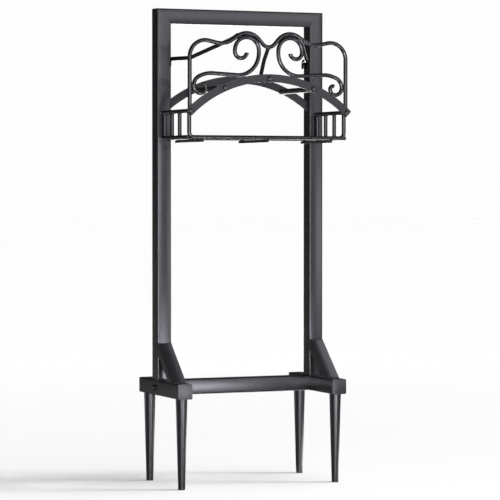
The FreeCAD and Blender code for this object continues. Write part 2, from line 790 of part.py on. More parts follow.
def make_rear_arch():
    """The rear bar, cut to fit between the inner faces of the posts."""
    inner = f"({HALF_WIDTH} - size.tube_size)"
    full = arch_body("rear_arch", REAR_ARCH_FRONT, "size.rear_arch_lift", math.pi / 3)
    room = bind(
        doc.addObject("Part::Box", "rear_arch_room"),
        Length=f"2 * {inner}",
        Width="3 * size.arch_thickness",
        Height=f"size.stand_height - {RAIL_TOP}",
    )
    place(room, f"-{inner}", f"{REAR_ARCH_FRONT} - size.arch_thickness", RAIL_TOP)
    trimmed = doc.addObject("Part::Common", "rear_arch_trimmed")
    trimmed.Base = full
    trimmed.Tool = room
    drilled_arch("rear_arch", trimmed, REAR_ARCH_FRONT, spacer_places())


def make_saddle_bolts():
    """The round-headed bolts at both arched bars, and the long bolts through the posts."""
    front_face = f"({FRONT_ARCH_BACK} - size.arch_thickness)"
    rear_face = f"({REAR_ARCH_FRONT} + size.arch_thickness)"
    shank = "size.arch_thickness + size.bolt_grip"
    sizes = ("size.bolt_head_size", "size.bolt_head_height", "size.bolt_size", shank)
    front = []
    rear = []
    for name, (x, z) in spacer_places().items():
        front.append(bolt(name + "_front_bolt", *sizes, x, front_face, z, "-Y"))
        rear.append(bolt(name + "_rear_bolt", *sizes, x, rear_face, z, "+Y"))
    node("saddle_front_bolts", group("saddle_front_bolts", front))
    node("saddle_rear_bolts", group("saddle_rear_bolts", rear))
    corner_sizes = ("size.corner_head_size", "size.bolt_head_height", "size.bolt_size")
    corners = []
    posts = []
    for side, sign in SIDES.items():
        x = f"{sign} * {SIDE_X}"
        corners.append(bolt(side + "_corner_bolt", *corner_sizes, shank, x, front_face, SIDE_Z, "-Y"))
        post_back = f"({POST_FACE} + size.tube_size)"
        long_shank = "size.tube_size + size.bolt_grip"
        posts.append(bolt(side + "_post_bolt", *corner_sizes, long_shank, x, post_back, SIDE_Z, "+Y"))
    node("corner_bolts", group("corner_bolts", corners))
    node("post_bolts", group("post_bolts", posts))


def tapped_rod(name, diameter, x, z, back):
    """A round bar from the front bar back to a depth, with a blind tapped hole in each end."""
    length = f"{back} - {FRONT_ARCH_BACK}"
    bar = cylinder(name + "_bar", f"{diameter} / 2", length, x, FRONT_ARCH_BACK, z, "Y")
    depth = "(size.bolt_grip + size.bolt_size)"
    front = cylinder(name + "_front_hole", TAPPED, depth, x, FRONT_ARCH_BACK, z, "Y")
    rear = cylinder(name + "_rear_hole", TAPPED, depth, x, f"{back} - {depth}", z, "Y")
    blanks[name] = bar
    return node(name, cut(name, cut(name + "_front", bar, front), rear))


def make_spacers():
    """The three rods that carry the hose between the arched bars."""
    for name, (x, z) in spacer_places().items():
        tapped_rod(name + "_spacer", "size.spacer_size", x, z, REAR_ARCH_FRONT)


def make_strut():
    """The middle strut from the loop's valley down to the centre spacer."""
    valley = loop_points()[4]
    bend_rise = drawn("valley_radius") * (1 / math.cos(valley_slope()) - 1)
    top = V(0, number(HEAD_Y), valley.z + bend_rise)
    elbow_z = number(SIDE_Z) + drawn("strut_elbow_height")
    elbow = V(0, top.y + number("size.strut_elbow_back"), elbow_z)
    foot_y = top.y + number("size.strut_foot_back")
    foot = V(0, foot_y, number(spacer_places()["centre"][1]))
    edges = rounded_edges([top, elbow, foot], [number("size.strut_radius")])
    rod = bent_rod("strut_rod", edges, "size.strut_size")
    rod = cut("strut_head", rod, nodes["front_loop"])
    node("centre_strut", cut("centre_strut", rod, blanks["centre_spacer"]))


def valley_slope():
    """The slope of the loop's flanks at the valley, in radians."""
    valley, corner = loop_points()[4:6]
    return math.atan2(corner.z - valley.z, corner.x - valley.x)


def flank_point(offset):
    """A point of the loop's outer flank, at this distance from the middle plane."""
    corner, dip = loop_points()[5:7]
    share = (offset - corner.x) / (dip.x - corner.x)
    return V(offset, 0, corner.z + share * (dip.z - corner.z))


def make_stays():
    """The two stays from the posts' inner faces up to the back of the loop."""
    behind = number(f"{HEAD_Y} + size.rod_size + size.weld_gap")
    inner_face = number(f"{HALF_WIDTH} - size.tube_size - size.rod_size / 2 - size.weld_gap")
    post_y = number(POST_Y)
    level = number(SIDE_Z) + drawn("stay_level")
    meet = flank_point(drawn("stay_meet_offset"))
    end = flank_point(drawn("stay_end_offset"))
    tail_y = post_y + number("size.stay_tail_back")
    right = [
        V(inner_face, tail_y, level - number("size.stay_tail_length")),
        V(inner_face, tail_y, level),
        V(drawn("stay_bend_offset"), post_y - number("size.stay_bend_ahead"), level),
        V(meet.x, behind, meet.z),
        V(end.x, behind, end.z),
    ]
    radii = [number(f"size.stay_{bend}_radius") for bend in ("tail", "bend", "meet")]
    for side, sign in SIDES.items():
        points = [V(sign * point.x, point.y, point.z) for point in right]
        node(side + "_stay", bent_rod(side + "_stay", rounded_edges(points, radii), "size.rod_size"))


def make_basket():
    """The open basket below the saddle: side rods, front rod, uprights, rear rod and floor rods."""
    for side, sign in SIDES.items():
        tapped_rod(side + "_top_rod", "size.side_rod_size", f"{sign} * {SIDE_X}", SIDE_Z, POST_FACE)
    half = number(f"{SIDE_X} - size.basket_inset")
    top = number(SIDE_Z)
    low = number(FLOOR_Z)
    points = [V(-half, 0, top), V(-half, 0, low), V(half, 0, low), V(half, 0, top)]
    corner = number("size.basket_corner")
    edges = rounded_edges(points, [corner, corner])
    front = bent_rod("basket_front_bend", edges, "size.rod_size", y=BASKET_FRONT)
    for side in SIDES:
        front = cut("basket_front_" + side, front, blanks[side + "_top_rod"])
    node("basket_front_rod", front)
    for side, sign in SIDES.items():
        x = f"{sign} * {SIDE_X}"
        length = f"{POST_FACE} - {BASKET_FRONT}"
        bar = cylinder(side + "_bottom_bar", "size.side_rod_size / 2", length, x, BASKET_FRONT, FLOOR_Z, "Y")
        bottom = node(side + "_bottom_rod", cut(side + "_bottom_rod", bar, nodes["basket_front_rod"]))
        for count, place_name in enumerate(("rear", "middle", "front")):
            name = f"{side}_{place_name}_upright"
            y = f"{REAR_ROD_Y} - {count} * size.upright_pitch"
            bar = cylinder(name + "_bar", "size.upright_size / 2", "size.basket_depth", x, y, FLOOR_Z)
            coped = cut(name + "_top", bar, blanks[side + "_top_rod"])
            node(name, cut(name, coped, bottom))
    rear = cylinder(
        "rear_rod_bar",
        "size.rear_rod_size / 2",
        f"2 * {SIDE_X}",
        f"-{SIDE_X}",
        REAR_ROD_Y,
        FLOOR_Z,
        "X",
    )
    for side in SIDES:
        rear = cut("rear_rod_" + side, rear, nodes[side + "_bottom_rod"])
        rear = cut("rear_rod_upright_" + side, rear, nodes[side + "_rear_upright"])
    node("basket_rear_rod", rear)
    floor_z = f"{FLOOR_Z} - size.rod_size / 2 - size.floor_rod_size / 2"
    for name, sign in (("left", -1), ("centre", 0), ("right", 1)):
        rod = cylinder(
            name + "_floor_rod",
            "size.floor_rod_size / 2",
            f"{REAR_ROD_Y} - {BASKET_FRONT} + size.floor_rod_tail + size.floor_rod_reach",
            f"{sign} * ({SIDE_X} - size.floor_rod_inset)",
            f"{BASKET_FRONT} - size.floor_rod_tail",
            floor_z,
            "Y",
        )
        node(name + "_floor_rod", rod)


def check_and_write():
    """Checks every object and every sub-part, and then writes one file for each sub-part."""
    doc.recompute()
    for thing in doc.Objects:
        if "Invalid" in thing.State or "Error" in thing.State:
            raise RuntimeError(f"{thing.Name} failed: {thing.State}")
    for rod, expected in volume_checks:
        if abs(rod.Shape.Volume / expected - 1) > 0.01:
            raise RuntimeError(f"{rod.Name} has volume {rod.Shape.Volume:.0f}, not {expected:.0f}")
    for label, thing in nodes.items():
        shape = thing.Shape
        if shape.isNull() or not shape.isValid() or not shape.Solids:
            raise RuntimeError(f"{label} has no valid solid")
    os.makedirs("parts", exist_ok=True)
    for label, thing in nodes.items():
        thing.Shape.exportStep(f"parts/{label}.step")
        box = thing.Shape.BoundBox
        print(
            f"{label}: {len(thing.Shape.Solids)} solid, X {box.XMin:.1f} {box.XMax:.1f},"
            f" Y {box.YMin:.1f} {box.YMax:.1f}, Z {box.ZMin:.1f} {box.ZMax:.1f}"
        )


make_posts()
make_top_bar()
make_rails()
make_stakes()
make_braces()
make_side_bolts()
make_basket()
make_front_loop()
make_scrolls()
make_front_arch()
make_rear_arch()
make_spacers()
make_saddle_bolts()
make_strut()
make_stays()
check_and_write()
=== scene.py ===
"""Looks, light and camera of a free-standing hose hanger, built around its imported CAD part."""

import logging
import math
from collections.abc import Iterable
from dataclasses import dataclass
from enum import Enum

import bpy
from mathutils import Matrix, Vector

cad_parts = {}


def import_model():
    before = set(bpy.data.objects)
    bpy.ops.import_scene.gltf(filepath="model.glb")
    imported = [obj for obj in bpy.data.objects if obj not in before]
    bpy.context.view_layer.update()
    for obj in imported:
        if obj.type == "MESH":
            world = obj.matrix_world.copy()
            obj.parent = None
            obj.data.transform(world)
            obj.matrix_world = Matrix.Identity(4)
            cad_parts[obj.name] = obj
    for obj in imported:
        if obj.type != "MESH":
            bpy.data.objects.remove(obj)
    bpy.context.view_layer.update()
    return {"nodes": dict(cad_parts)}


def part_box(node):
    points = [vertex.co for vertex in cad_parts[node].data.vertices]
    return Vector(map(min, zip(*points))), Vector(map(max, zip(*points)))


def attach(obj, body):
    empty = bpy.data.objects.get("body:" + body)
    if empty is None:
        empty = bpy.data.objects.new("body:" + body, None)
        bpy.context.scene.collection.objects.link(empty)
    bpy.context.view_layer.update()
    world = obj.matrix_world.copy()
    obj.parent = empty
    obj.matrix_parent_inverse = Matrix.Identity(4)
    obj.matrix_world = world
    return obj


LOG = logging.getLogger("hose_hanger")
BODY = "root"
BACK_AXIS = Vector((0, 1, 0))
RIGHT_AXIS = Vector((1, 0, 0))
UP_AXIS = Vector((0, 0, 1))
SIDES = {"left": -1, "right": 1}
ENDS = ("front", "rear")
RING_POINTS = 28  # Points round the weld of two rods.

# Centre lines of the square tubes, in metres, with X out from the middle plane.
POST_X = 0.1935
POST_Y = 0.044375
RAIL_Z = 0.2255
TOP_BAR_Z = 1.0865


class Grain(Enum):
    """The kinds of small surface structure, each with the detail of its noise."""

    ORANGE_PEEL = 1.0
    MOULDED = 4.0
    PLATED = 6.0
    WELD = 3.0


@dataclass(frozen=True)
class Crown:
    """The slight swelling of a rolled tube's faces.

    Args:
        centre: A point on the tube's axis, in metres; its X counts out from the middle plane.
        across: Which coordinates lie across the tube, such as "xy".
        tilt: How far the surface leans at the edge of a face, as a slope.
        half: Half the tube's width, in metres.
    """

    centre: tuple[float, float, float]
    across: str
    tilt: float = 0.1
    half: float = 0.0175


@dataclass(frozen=True)
class Finish:
    """The look of one kind of surface.

    Args:
        name: Name of the material.
        colour: Base colour, linear RGB.
        mottle: Share by which the colour changes over a few centimetres.
        roughness: Middle roughness.
        roughness_spread: How far it goes up and down from there.
        grain: Kind of small surface structure.
        grain_size: Size of one grain, in metres.
        grain_depth: Height of the grain, in metres.
        metallic: How metallic the surface is.
        gloss: Strength of the reflection, 0.5 for plain plastic.
        dust: Share of pale dust on faces that look up.
        crown: Swelling of the faces, for a tube.
    """

    name: str
    colour: tuple[float, float, float]
    mottle: float
    roughness: float
    roughness_spread: float
    grain: Grain
    grain_size: float
    grain_depth: float
    metallic: float = 0.0
    gloss: float = 0.5
    dust: float = 0.0
    crown: Crown | None = None


@dataclass(frozen=True)
class SurfaceSizes:
    """What every finish has in common.

    Args:
        cloud: Width of the large blotches, in metres, and their detail.
        fine: The same for the small blotches.
        shade_weights: Weights of the large and the small blotches in the colour.
        rough_weights: Their weights in the roughness.
        smoothest: Lowest roughness.
        dust_slope: Upward part of the normal at which dust starts, and at which it is full.
        dust_colour: Colour of the dust, linear RGBA.
        swell_width: Width of the orange peel's broad waves, in grains.
        swell_height: Height of these waves, in grain depths.
    """

    cloud: tuple[float, float] = (0.045, 3.0)
    fine: tuple[float, float] = (0.006, 2.0)
    shade_weights: tuple[float, float] = (1.4, 0.6)
    rough_weights: tuple[float, float] = (0.7, 0.3)
    smoothest: float = 0.05
    dust_slope: tuple[float, float] = (0.5, 1.0)
    dust_colour: tuple[float, float, float, float] = (0.3, 0.29, 0.27, 1.0)
    swell_width: float = 6.0
    swell_height: float = 1.5


def port(sockets: Iterable[bpy.types.NodeSocket], name: str) -> bpy.types.NodeSocket:
    """One of a node's sockets; two can share a name, but not an identifier.

    Args:
        sockets: The node's inputs or its outputs.
        name: The identifier, with _ for a space.
    Returns:
        The socket.
    """
    return next(socket for socket in sockets if socket.identifier.replace(" ", "_") == name)


class Graph:
    """A node tree under construction."""

    def __init__(self, tree: bpy.types.NodeTree) -> None:
        """Takes over a tree and empties it."""
        self.tree = tree
        tree.nodes.clear()

    def node(
        self, kind: str, settings: dict[str, object] | None = None, **inputs: object
    ) -> bpy.types.Node:
        """Adds a node.

        Args:
            kind: Blender's name of the node type.
            settings: Properties of the node, which are set first.
            inputs: Values or links for the inputs, by identifier with _ for a space.
        Returns:
            The node.
        """
        made = self.tree.nodes.new(kind)
        for name, setting in (settings or {}).items():
            setattr(made, name, setting)
        for name, given in inputs.items():
            place = port(made.inputs, name)
            source = given.socket if isinstance(given, Value) else given
            if isinstance(source, bpy.types.NodeSocket):
                self.tree.links.new(source, place)
            else:
                place.default_value = source
        return made


class Value:
    """A number in a shader tree; sums with it add Math nodes."""

    def __init__(self, shader: "Shader", socket: bpy.types.NodeSocket) -> None:
        """Wraps an output of one of the tree's nodes."""
        self.shader = shader
        self.socket = socket

    def _math(self, operation: str, *operands: "Value | float") -> "Value":
        """One Math node.

        Args:
            operation: Blender's name of the operation.
            operands: One or two operands, in their order.
        Returns:
            The result.
        """
        inputs = dict(zip(("Value", "Value_001"), operands))
        made = self.shader.node("ShaderNodeMath", {"operation": operation}, **inputs)
        return self.shader.value(made, "Value")

    def __add__(self, other: "Value | float") -> "Value":
        """The sum."""
        return self._math("ADD", self, other)

    def __radd__(self, other: float) -> "Value":
        """The sum, with a number in front."""
        return self._math("ADD", self, other)

    def __sub__(self, other: "Value | float") -> "Value":
        """The difference."""
        return self._math("SUBTRACT", self, other)

    def __rsub__(self, other: float) -> "Value":
        """A number less this value."""
        return self._math("SUBTRACT", other, self)

    def __mul__(self, other: "Value | float") -> "Value":
        """The product."""
        return self._math("MULTIPLY", self, other)

    def __rmul__(self, other: float) -> "Value":
        """The product, with a number in front."""
        return self._math("MULTIPLY", self, other)

    def __neg__(self) -> "Value":
        """This value with its sign turned."""
        return self._math("MULTIPLY", self, -1.0)

    def __abs__(self) -> "Value":
        """This value without its sign."""
        return self._math("ABSOLUTE", self)

    def bounded(self, low: float = 0.0, high: float = 1.0) -> "Value":
        """This value kept between two numbers."""
        return self._math("MINIMUM", self._math("MAXIMUM", self, low), high)

    def step(self, start: float, end: float) -> "Value":
        """A smooth step.

        Args:
            start: Where it leaves 0.
            end: Where it reaches 1.
        Returns:
            The step's height at this value.
        """
        made = self.shader.node(
            "ShaderNodeMapRange",
            {"interpolation_type": "SMOOTHSTEP"},
            Value=self,
            From_Min=start,
            From_Max=end,
        )
        return self.shader.value(made, "Result")


class Shader(Graph):
    """The shader tree of a material or of the world."""

    def value(self, node: bpy.types.Node, output: str) -> Value:
        """An output of a node as a value for sums."""
        return Value(self, port(node.outputs, output))

    def noise(self, place: bpy.types.NodeSocket, size: float, detail: float) -> Value:
        """Noise from 0 to 1.

        Args:
            place: The coordinates at which it is read.
            size: Width of its blotches, in metres.
            detail: How many finer layers it has.
        Returns:
            The noise.
        """
        made = self.node("ShaderNodeTexNoise", Vector=place, Scale=1 / size, Detail=detail)
        return self.value(made, "Fac")

    def apart(self, vector: bpy.types.NodeSocket) -> tuple[Value, Value, Value]:
        """The X, Y and Z of a vector."""
        made = self.node("ShaderNodeSeparateXYZ", Vector=vector)
        return tuple(self.value(made, axis) for axis in "XYZ")

    def colour(self, red: Value, green: Value, blue: Value) -> bpy.types.NodeSocket:
        """A colour from its three channels."""
        return self.node("ShaderNodeCombineColor", Red=red, Green=green, Blue=blue).outputs["Color"]

    def mix(
        self,
        share: Value | bpy.types.NodeSocket,
        first: bpy.types.NodeSocket,
        second: bpy.types.NodeSocket,
    ) -> bpy.types.NodeSocket:
        """A mix of two shaders.

        Args:
            share: Share of the second one.
            first: The first shader.
            second: The second shader.
        Returns:
            The mixed shader.
        """
        made = self.node("ShaderNodeMixShader", Fac=share, Shader=first, Shader_001=second)
        return made.outputs["Shader"]


class FinishShop:
    """Makes each material once, and hands it out by its finish."""

    sizes = SurfaceSizes()

    def __init__(self) -> None:
        """Starts with no materials."""
        self._made: dict[str, bpy.types.Material] = {}

    def material(self, finish: Finish) -> bpy.types.Material:
        """The material of a finish.

        Args:
            finish: What it looks like.
        Returns:
            A node material, made on the first call.
        """
        if finish.name not in self._made:
            self._made[finish.name] = self._build(finish)
        return self._made[finish.name]

    def _build(self, finish: Finish) -> bpy.types.Material:
        """A new material with the finish's colour, roughness and relief.

        Args:
            finish: What it looks like.
        Returns:
            The material.
        """
        sizes = self.sizes
        made = bpy.data.materials.new(finish.name)
        made.use_nodes = True
        made.diffuse_color = (*finish.colour, 1)
        shader = Shader(made.node_tree)
        place = shader.node("ShaderNodeTexCoord").outputs["Object"]
        cloud = shader.noise(place, *sizes.cloud)
        fine = shader.noise(place, *sizes.fine)
        shade = 1 + finish.mottle * self._blotches(cloud, fine, sizes.shade_weights)
        uneven = self._blotches(cloud, fine, sizes.rough_weights)
        roughness = uneven * (2 * finish.roughness_spread) + finish.roughness
        surface = shader.node(
            "ShaderNodeBsdfPrincipled",
            Base_Color=self._colour(shader, finish, shade),
            Roughness=roughness.bounded(sizes.smoothest),
            Metallic=finish.metallic,
            Specular_IOR_Level=finish.gloss,
            Normal=self._relief(shader, finish, place),
        )
        shader.node("ShaderNodeOutputMaterial", Surface=surface.outputs["BSDF"])
        return made

    def _blotches(self, cloud: Value, fine: Value, weights: tuple[float, float]) -> Value:
        """Both kinds of blotch added up by their weights, and lowered until they swing about 0."""
        return cloud * weights[0] + fine * weights[1] - sum(weights) / 2

    def _colour(self, shader: Shader, finish: Finish, shade: Value) -> bpy.types.NodeSocket:
        """The base colour, with a little dust where it looks up.

        Args:
            shader: The material's tree.
            finish: What it looks like.
            shade: The mottling, which swings about 1.
        Returns:
            The colour.
        """
        mottled = shader.colour(*(shade * channel for channel in finish.colour))
        if not finish.dust:
            return mottled
        normal = shader.node("ShaderNodeNewGeometry").outputs["Normal"]
        _, _, upward = shader.apart(normal)
        dusted = shader.node(
            "ShaderNodeMix",
            {"data_type": "RGBA"},
            Factor_Float=upward.step(*self.sizes.dust_slope) * finish.dust,
            A_Color=mottled,
            B_Color=self.sizes.dust_colour,
        )
        return port(dusted.outputs, "Result_Color")

    def _relief(
        self, shader: Shader, finish: Finish, place: bpy.types.NodeSocket
    ) -> bpy.types.NodeSocket:
        """The normal: the grain of the finish, and the crown of a rolled tube's faces.

        Args:
            shader: The material's tree.
            finish: What it looks like.
            place: Object coordinates.
        Returns:
            The normal.
        """
        detail = finish.grain.value
        height = shader.noise(place, finish.grain_size, detail)
        if finish.grain is Grain.ORANGE_PEEL:
            waves = shader.noise(place, finish.grain_size * self.sizes.swell_width, detail)
            height = height + waves * self.sizes.swell_height
        height = height * finish.grain_depth
        if finish.crown:
            height = height - self._swelling(shader, finish.crown, place)
        bump = shader.node("ShaderNodeBump", Strength=1.0, Distance=1.0, Height=height)
        return bump.outputs["Normal"]

    def _swelling(self, shader: Shader, crown: Crown, place: bpy.types.NodeSocket) -> Value:
        """How far a tube's face falls away from its middle line.

        Args:
            shader: The material's tree.
            crown: The swelling.
            place: Object coordinates.
        Returns:
            The fall, in metres.
        """
        steepness = crown.tilt / (2 * crown.half)
        falls = []
        for axis, there, middle in zip("xyz", shader.apart(place), crown.centre):
            if axis in crown.across:
                away = (abs(there) if axis == "x" else there) - middle
                falls.append(away * away * steepness)
        return sum(falls[1:], falls[0])


def tube_finish(name: str, crown: Crown) -> Finish:
    """The satin charcoal powder coat of the square tubes.

    Args:
        name: Name of the material.
        crown: Swelling of the tube's faces.
    Returns:
        The finish.
    """
    return Finish(
        name=name,
        colour=(0.012, 0.0118, 0.0138),
        mottle=0.16,
        roughness=0.25,
        roughness_spread=0.03,
        grain=Grain.ORANGE_PEEL,
        grain_size=0.0016,
        grain_depth=0.0000025,
        gloss=0.8,
        dust=0.01,
        crown=crown,
    )


RAIL_CROWN = Crown((POST_X, 0, RAIL_Z), "xz")


class Palette:
    """Every finish of the hanger."""

    POST = tube_finish("post_coat", Crown((POST_X, POST_Y, 0), "xy", tilt=0.15))
    RAIL = tube_finish("rail_coat", RAIL_CROWN)
    TOP_BAR = tube_finish("top_bar_coat", Crown((0, POST_Y, TOP_BAR_Z), "yz"))
    CROSS_BAR = tube_finish("cross_bar_coat", Crown((0, POST_Y, RAIL_Z), "yz"))
    BRACE = tube_finish("brace_coat", Crown((POST_X, 0, 0), "x", tilt=0.15, half=0.013))
    ROD = Finish(
        name="rod_coat",
        colour=(0.007, 0.007, 0.008),
        mottle=0.2,
        roughness=0.2,
        roughness_spread=0.03,
        grain=Grain.ORANGE_PEEL,
        grain_size=0.0018,
        grain_depth=0.000004,
        gloss=1.0,
    )
    FLAT_BAR = Finish(
        name="flat_bar_coat",
        colour=(0.016, 0.016, 0.018),
        mottle=0.5,
        roughness=0.34,
        roughness_spread=0.06,
        grain=Grain.ORANGE_PEEL,
        grain_size=0.0022,
        grain_depth=0.00002,
        gloss=0.55,
    )
    STAKE = Finish(
        name="stake_coat",
        colour=(0.010, 0.010, 0.011),
        mottle=0.16,
        roughness=0.30,
        roughness_spread=0.03,
        grain=Grain.ORANGE_PEEL,
        grain_size=0.0018,
        grain_depth=0.000002,
        gloss=0.9,
    )
    CAP = Finish(
        name="cap_plastic",
        colour=(0.014, 0.014, 0.015),
        mottle=0.06,
        roughness=0.36,
        roughness_spread=0.03,
        grain=Grain.MOULDED,
        grain_size=0.0005,
        grain_depth=0.000004,
        gloss=0.7,
        crown=RAIL_CROWN,
    )
    FASTENER = Finish(
        name="fastener_black",
        colour=(0.010, 0.010, 0.011),
        mottle=0.2,
        roughness=0.20,
        roughness_spread=0.04,
        grain=Grain.PLATED,
        grain_size=0.0012,
        grain_depth=0.000006,
        gloss=1.0,
    )
    PLATED = Finish(
        name="zinc_plate",
        colour=(0.55, 0.55, 0.57),
        mottle=0.12,
        roughness=0.36,
        roughness_spread=0.08,
        grain=Grain.PLATED,
        grain_size=0.0012,
        grain_depth=0.000010,
        metallic=1.0,
    )
    WELD = Finish(
        name="weld_coat",
        colour=(0.009, 0.009, 0.010),
        mottle=0.18,
        roughness=0.28,
        roughness_spread=0.06,
        grain=Grain.WELD,
        grain_size=0.0014,
        grain_depth=0.000048,
        gloss=0.8,
    )


def add_object(name: str, data: bpy.types.ID) -> bpy.types.Object:
    """A new object in the scene, at the origin.

    Args:
        name: Its name.
        data: Its mesh, curve, light or camera.
    Returns:
        The object.
    """
    made = bpy.data.objects.new(name, data)
    bpy.context.scene.collection.objects.link(made)
    return made


class BeadNodes(Graph):
    """A Geometry Nodes group that lays overlapping weld ripples along a curve."""

    def __init__(self) -> None:
        """Makes the group."""
        super().__init__(bpy.data.node_groups.new("weld_bead", "GeometryNodeTree"))
        self._ports()
        self._build()

    def _ports(self) -> None:
        """The group's named inputs and its output."""
        kinds = {
            "Geometry": "Geometry",
            "Ripple": "Float",
            "Pitch": "Float",
            "Spread": "Float",
            "Seed": "Int",
            "Finish": "Material",
        }
        face = self.tree.interface
        for name, kind in kinds.items():
            face.new_socket(name, in_out="INPUT", socket_type="NodeSocket" + kind)
        face.new_socket("Geometry", in_out="OUTPUT", socket_type="NodeSocketGeometry")

    def _build(self) -> None:
        """Resampled curve, a ripple of random size on each point, one mesh."""
        given = self.node("NodeGroupInput").outputs
        spaced = self.node(
            "GeometryNodeResampleCurve",
            {"mode": "LENGTH"},
            Curve=given["Geometry"],
            Length=given["Pitch"],
        )
        ripple = self.node("GeometryNodeMeshIcoSphere", Radius=given["Ripple"], Subdivisions=2)
        low, high = (
            self.node("ShaderNodeMath", {"operation": way}, Value=1.0, Value_001=given["Spread"])
            for way in ("SUBTRACT", "ADD")
        )
        sizes = self.node(
            "FunctionNodeRandomValue",
            {"data_type": "FLOAT"},
            Min_001=low.outputs["Value"],
            Max_001=high.outputs["Value"],
            Seed=given["Seed"],
        )
        laid = self.node(
            "GeometryNodeInstanceOnPoints",
            Points=spaced.outputs["Curve"],
            Instance=ripple.outputs["Mesh"],
            Scale=port(sizes.outputs, "Value_001"),
        )
        real = self.node("GeometryNodeRealizeInstances", Geometry=laid.outputs["Instances"])
        smooth = self.node("GeometryNodeSetShadeSmooth", Geometry=real.outputs["Geometry"])
        painted = self.node(
            "GeometryNodeSetMaterial", Geometry=smooth.outputs["Geometry"], Material=given["Finish"]
        )
        end = self.node("NodeGroupOutput")
        self.tree.links.new(painted.outputs["Geometry"], end.inputs["Geometry"])

    def key(self, name: str) -> str:
        """The identifier of one of the group's inputs."""
        items = self.tree.interface.items_tree
        return next(i.identifier for i in items if i.name == name and i.in_out == "INPUT")


@dataclass(frozen=True)
class Rod:
    """The axis of a round rod near a joint.

    Args:
        point: A point on the axis, in metres.
        along: Direction of the axis.
        radius: Radius, in metres.
    """

    point: Vector
    along: Vector
    radius: float


@dataclass(frozen=True)
class Seam:
    """The middle line of a weld.

    Args:
        points: Points that it follows.
        closed: Whether it comes back to its start.
    """

    points: tuple[Vector, ...]
    closed: bool = False


@dataclass(frozen=True)
class Bead:
    """The ripples of a sub-assembly's welds.

    Args:
        ripple: Radius of a ripple, in metres.
        seed: Seed of the ripples' sizes.
        pitch: Distance from one ripple to the next, in ripple radii.
        spread: Share by which a ripple can be smaller or larger.
    """

    ripple: float
    seed: int
    pitch: float = 0.62
    spread: float = 0.18


def turns(count: int) -> list[float]:
    """Evenly spaced angles round a circle, in radians."""
    return [2 * math.pi * step / count for step in range(count)]


def joint_ring(branch: Rod, main: Rod) -> Seam:
    """The line where a rod lands on another one.

    Args:
        branch: The rod that ends there, its direction pointing away from the joint.
        main: The rod that it lands on; its point lies on the branch's axis.
    Returns:
        The closed seam.
    """
    away = branch.along.normalized()
    line = main.along.normalized()
    first = away.orthogonal().normalized()
    second = away.cross(first)
    flat_away = away - line * away.dot(line)
    reach = flat_away.length_squared
    points = []
    for turn in turns(RING_POINTS):
        spoke = (first * math.cos(turn) + second * math.sin(turn)) * branch.radius
        flat = spoke - line * spoke.dot(line)
        slope = flat.dot(flat_away)
        inside = max(slope**2 - reach * (flat.length_squared - main.radius**2), 0.0)
        points.append(main.point + spoke + away * ((math.sqrt(inside) - slope) / reach))
    return Seam(tuple(points), closed=True)


def contact_seams(
    point: Vector, along: Vector, normal: Vector, length: float, groove: float
) -> list[Seam]:
    """Short welds in the grooves on both sides of where two parallel rods touch.

    Args:
        point: The point where they touch.
        along: Their direction.
        normal: The direction across the groove, out of the plane that holds both axes.
        length: Length of each weld, in metres.
        groove: Distance of the weld from the touching point, in metres.
    Returns:
        Two seams.
    """
    half = along.normalized() * (length / 2)
    middles = [point + normal * side * groove for side in SIDES.values()]
    return [Seam((middle - half, middle + half)) for middle in middles]


def block_seam(low: Vector, high: Vector) -> Seam:
    """A weld round the foot of a square tube.

    Args:
        low: Lowest corner of the rectangle, in metres.
        high: The opposite corner, at the same height.
    Returns:
        The closed seam.
    """
    corners = ((low.x, low.y), (high.x, low.y), (high.x, high.y), (low.x, high.y))
    return Seam(tuple(Vector((x, y, low.z)) for x, y in corners), closed=True)


class WeldShop:
    """Turns seams into plain meshes of weld beads."""

    def __init__(self, finish: bpy.types.Material) -> None:
        """Makes the bead group once, and keeps the welds' material."""
        self.nodes = BeadNodes()
        self.finish = finish

    def lay(self, name: str, seams: list[Seam], bead: Bead) -> None:
        """Makes one piece from several seams.

        Args:
            name: Name of the piece.
            seams: The welds.
            bead: Their ripples.
        """
        carrier = self._line(name + "_line", seams)
        modifier = carrier.modifiers.new("beads", "NODES")
        modifier.node_group = self.nodes.tree
        settings = {
            "Ripple": bead.ripple,
            "Pitch": bead.ripple * bead.pitch,
            "Spread": bead.spread,
            "Seed": bead.seed,
            "Finish": self.finish,
        }
        for key, setting in settings.items():
            modifier[self.nodes.key(key)] = setting
        graph = bpy.context.evaluated_depsgraph_get()
        mesh = bpy.data.meshes.new_from_object(carrier.evaluated_get(graph), depsgraph=graph)
        bpy.data.objects.remove(carrier)
        if mesh.materials[0] is None:  # The curve leaves an empty slot in front.
            mesh.materials.pop(index=0)
        mesh.name = name
        piece = add_object(name, mesh)
        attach(piece, BODY)

    def _line(self, name: str, seams: list[Seam]) -> bpy.types.Object:
        """A curve object with one spline for each seam.

        Args:
            name: Name of the object.
            seams: The welds.
        Returns:
            The object.
        """
        line = bpy.data.curves.new(name, "CURVE")
        line.dimensions = "3D"
        for seam in seams:
            spline = line.splines.new("POLY")
            spline.points.add(len(seam.points) - 1)
            for spot, point in zip(spline.points, seam.points):
                spot.co = (*point, 1)
            spline.use_cyclic_u = seam.closed
        return add_object(name, line)


def pair(name: str) -> list[str]:
    """The names of a left and a right node."""
    return [f"{side}_{name}" for side in SIDES]


def middle_of(node: str) -> Vector:
    """The middle of a CAD node's box."""
    low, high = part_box(node)
    return (low + high) / 2


def touching_height(node: bpy.types.Object, side: int) -> float:
    """The height at which a bent rod reaches furthest to one side.

    Args:
        node: The CAD node.
        side: -1 for the left, 1 for the right.
    Returns:
        The height, in metres.
    """
    rounding = 1e-5
    points = [vertex.co for vertex in node.data.vertices]
    furthest = max(side * point.x for point in points)
    level = [point.z for point in points if side * point.x > furthest - rounding]
    return sum(level) / len(level)


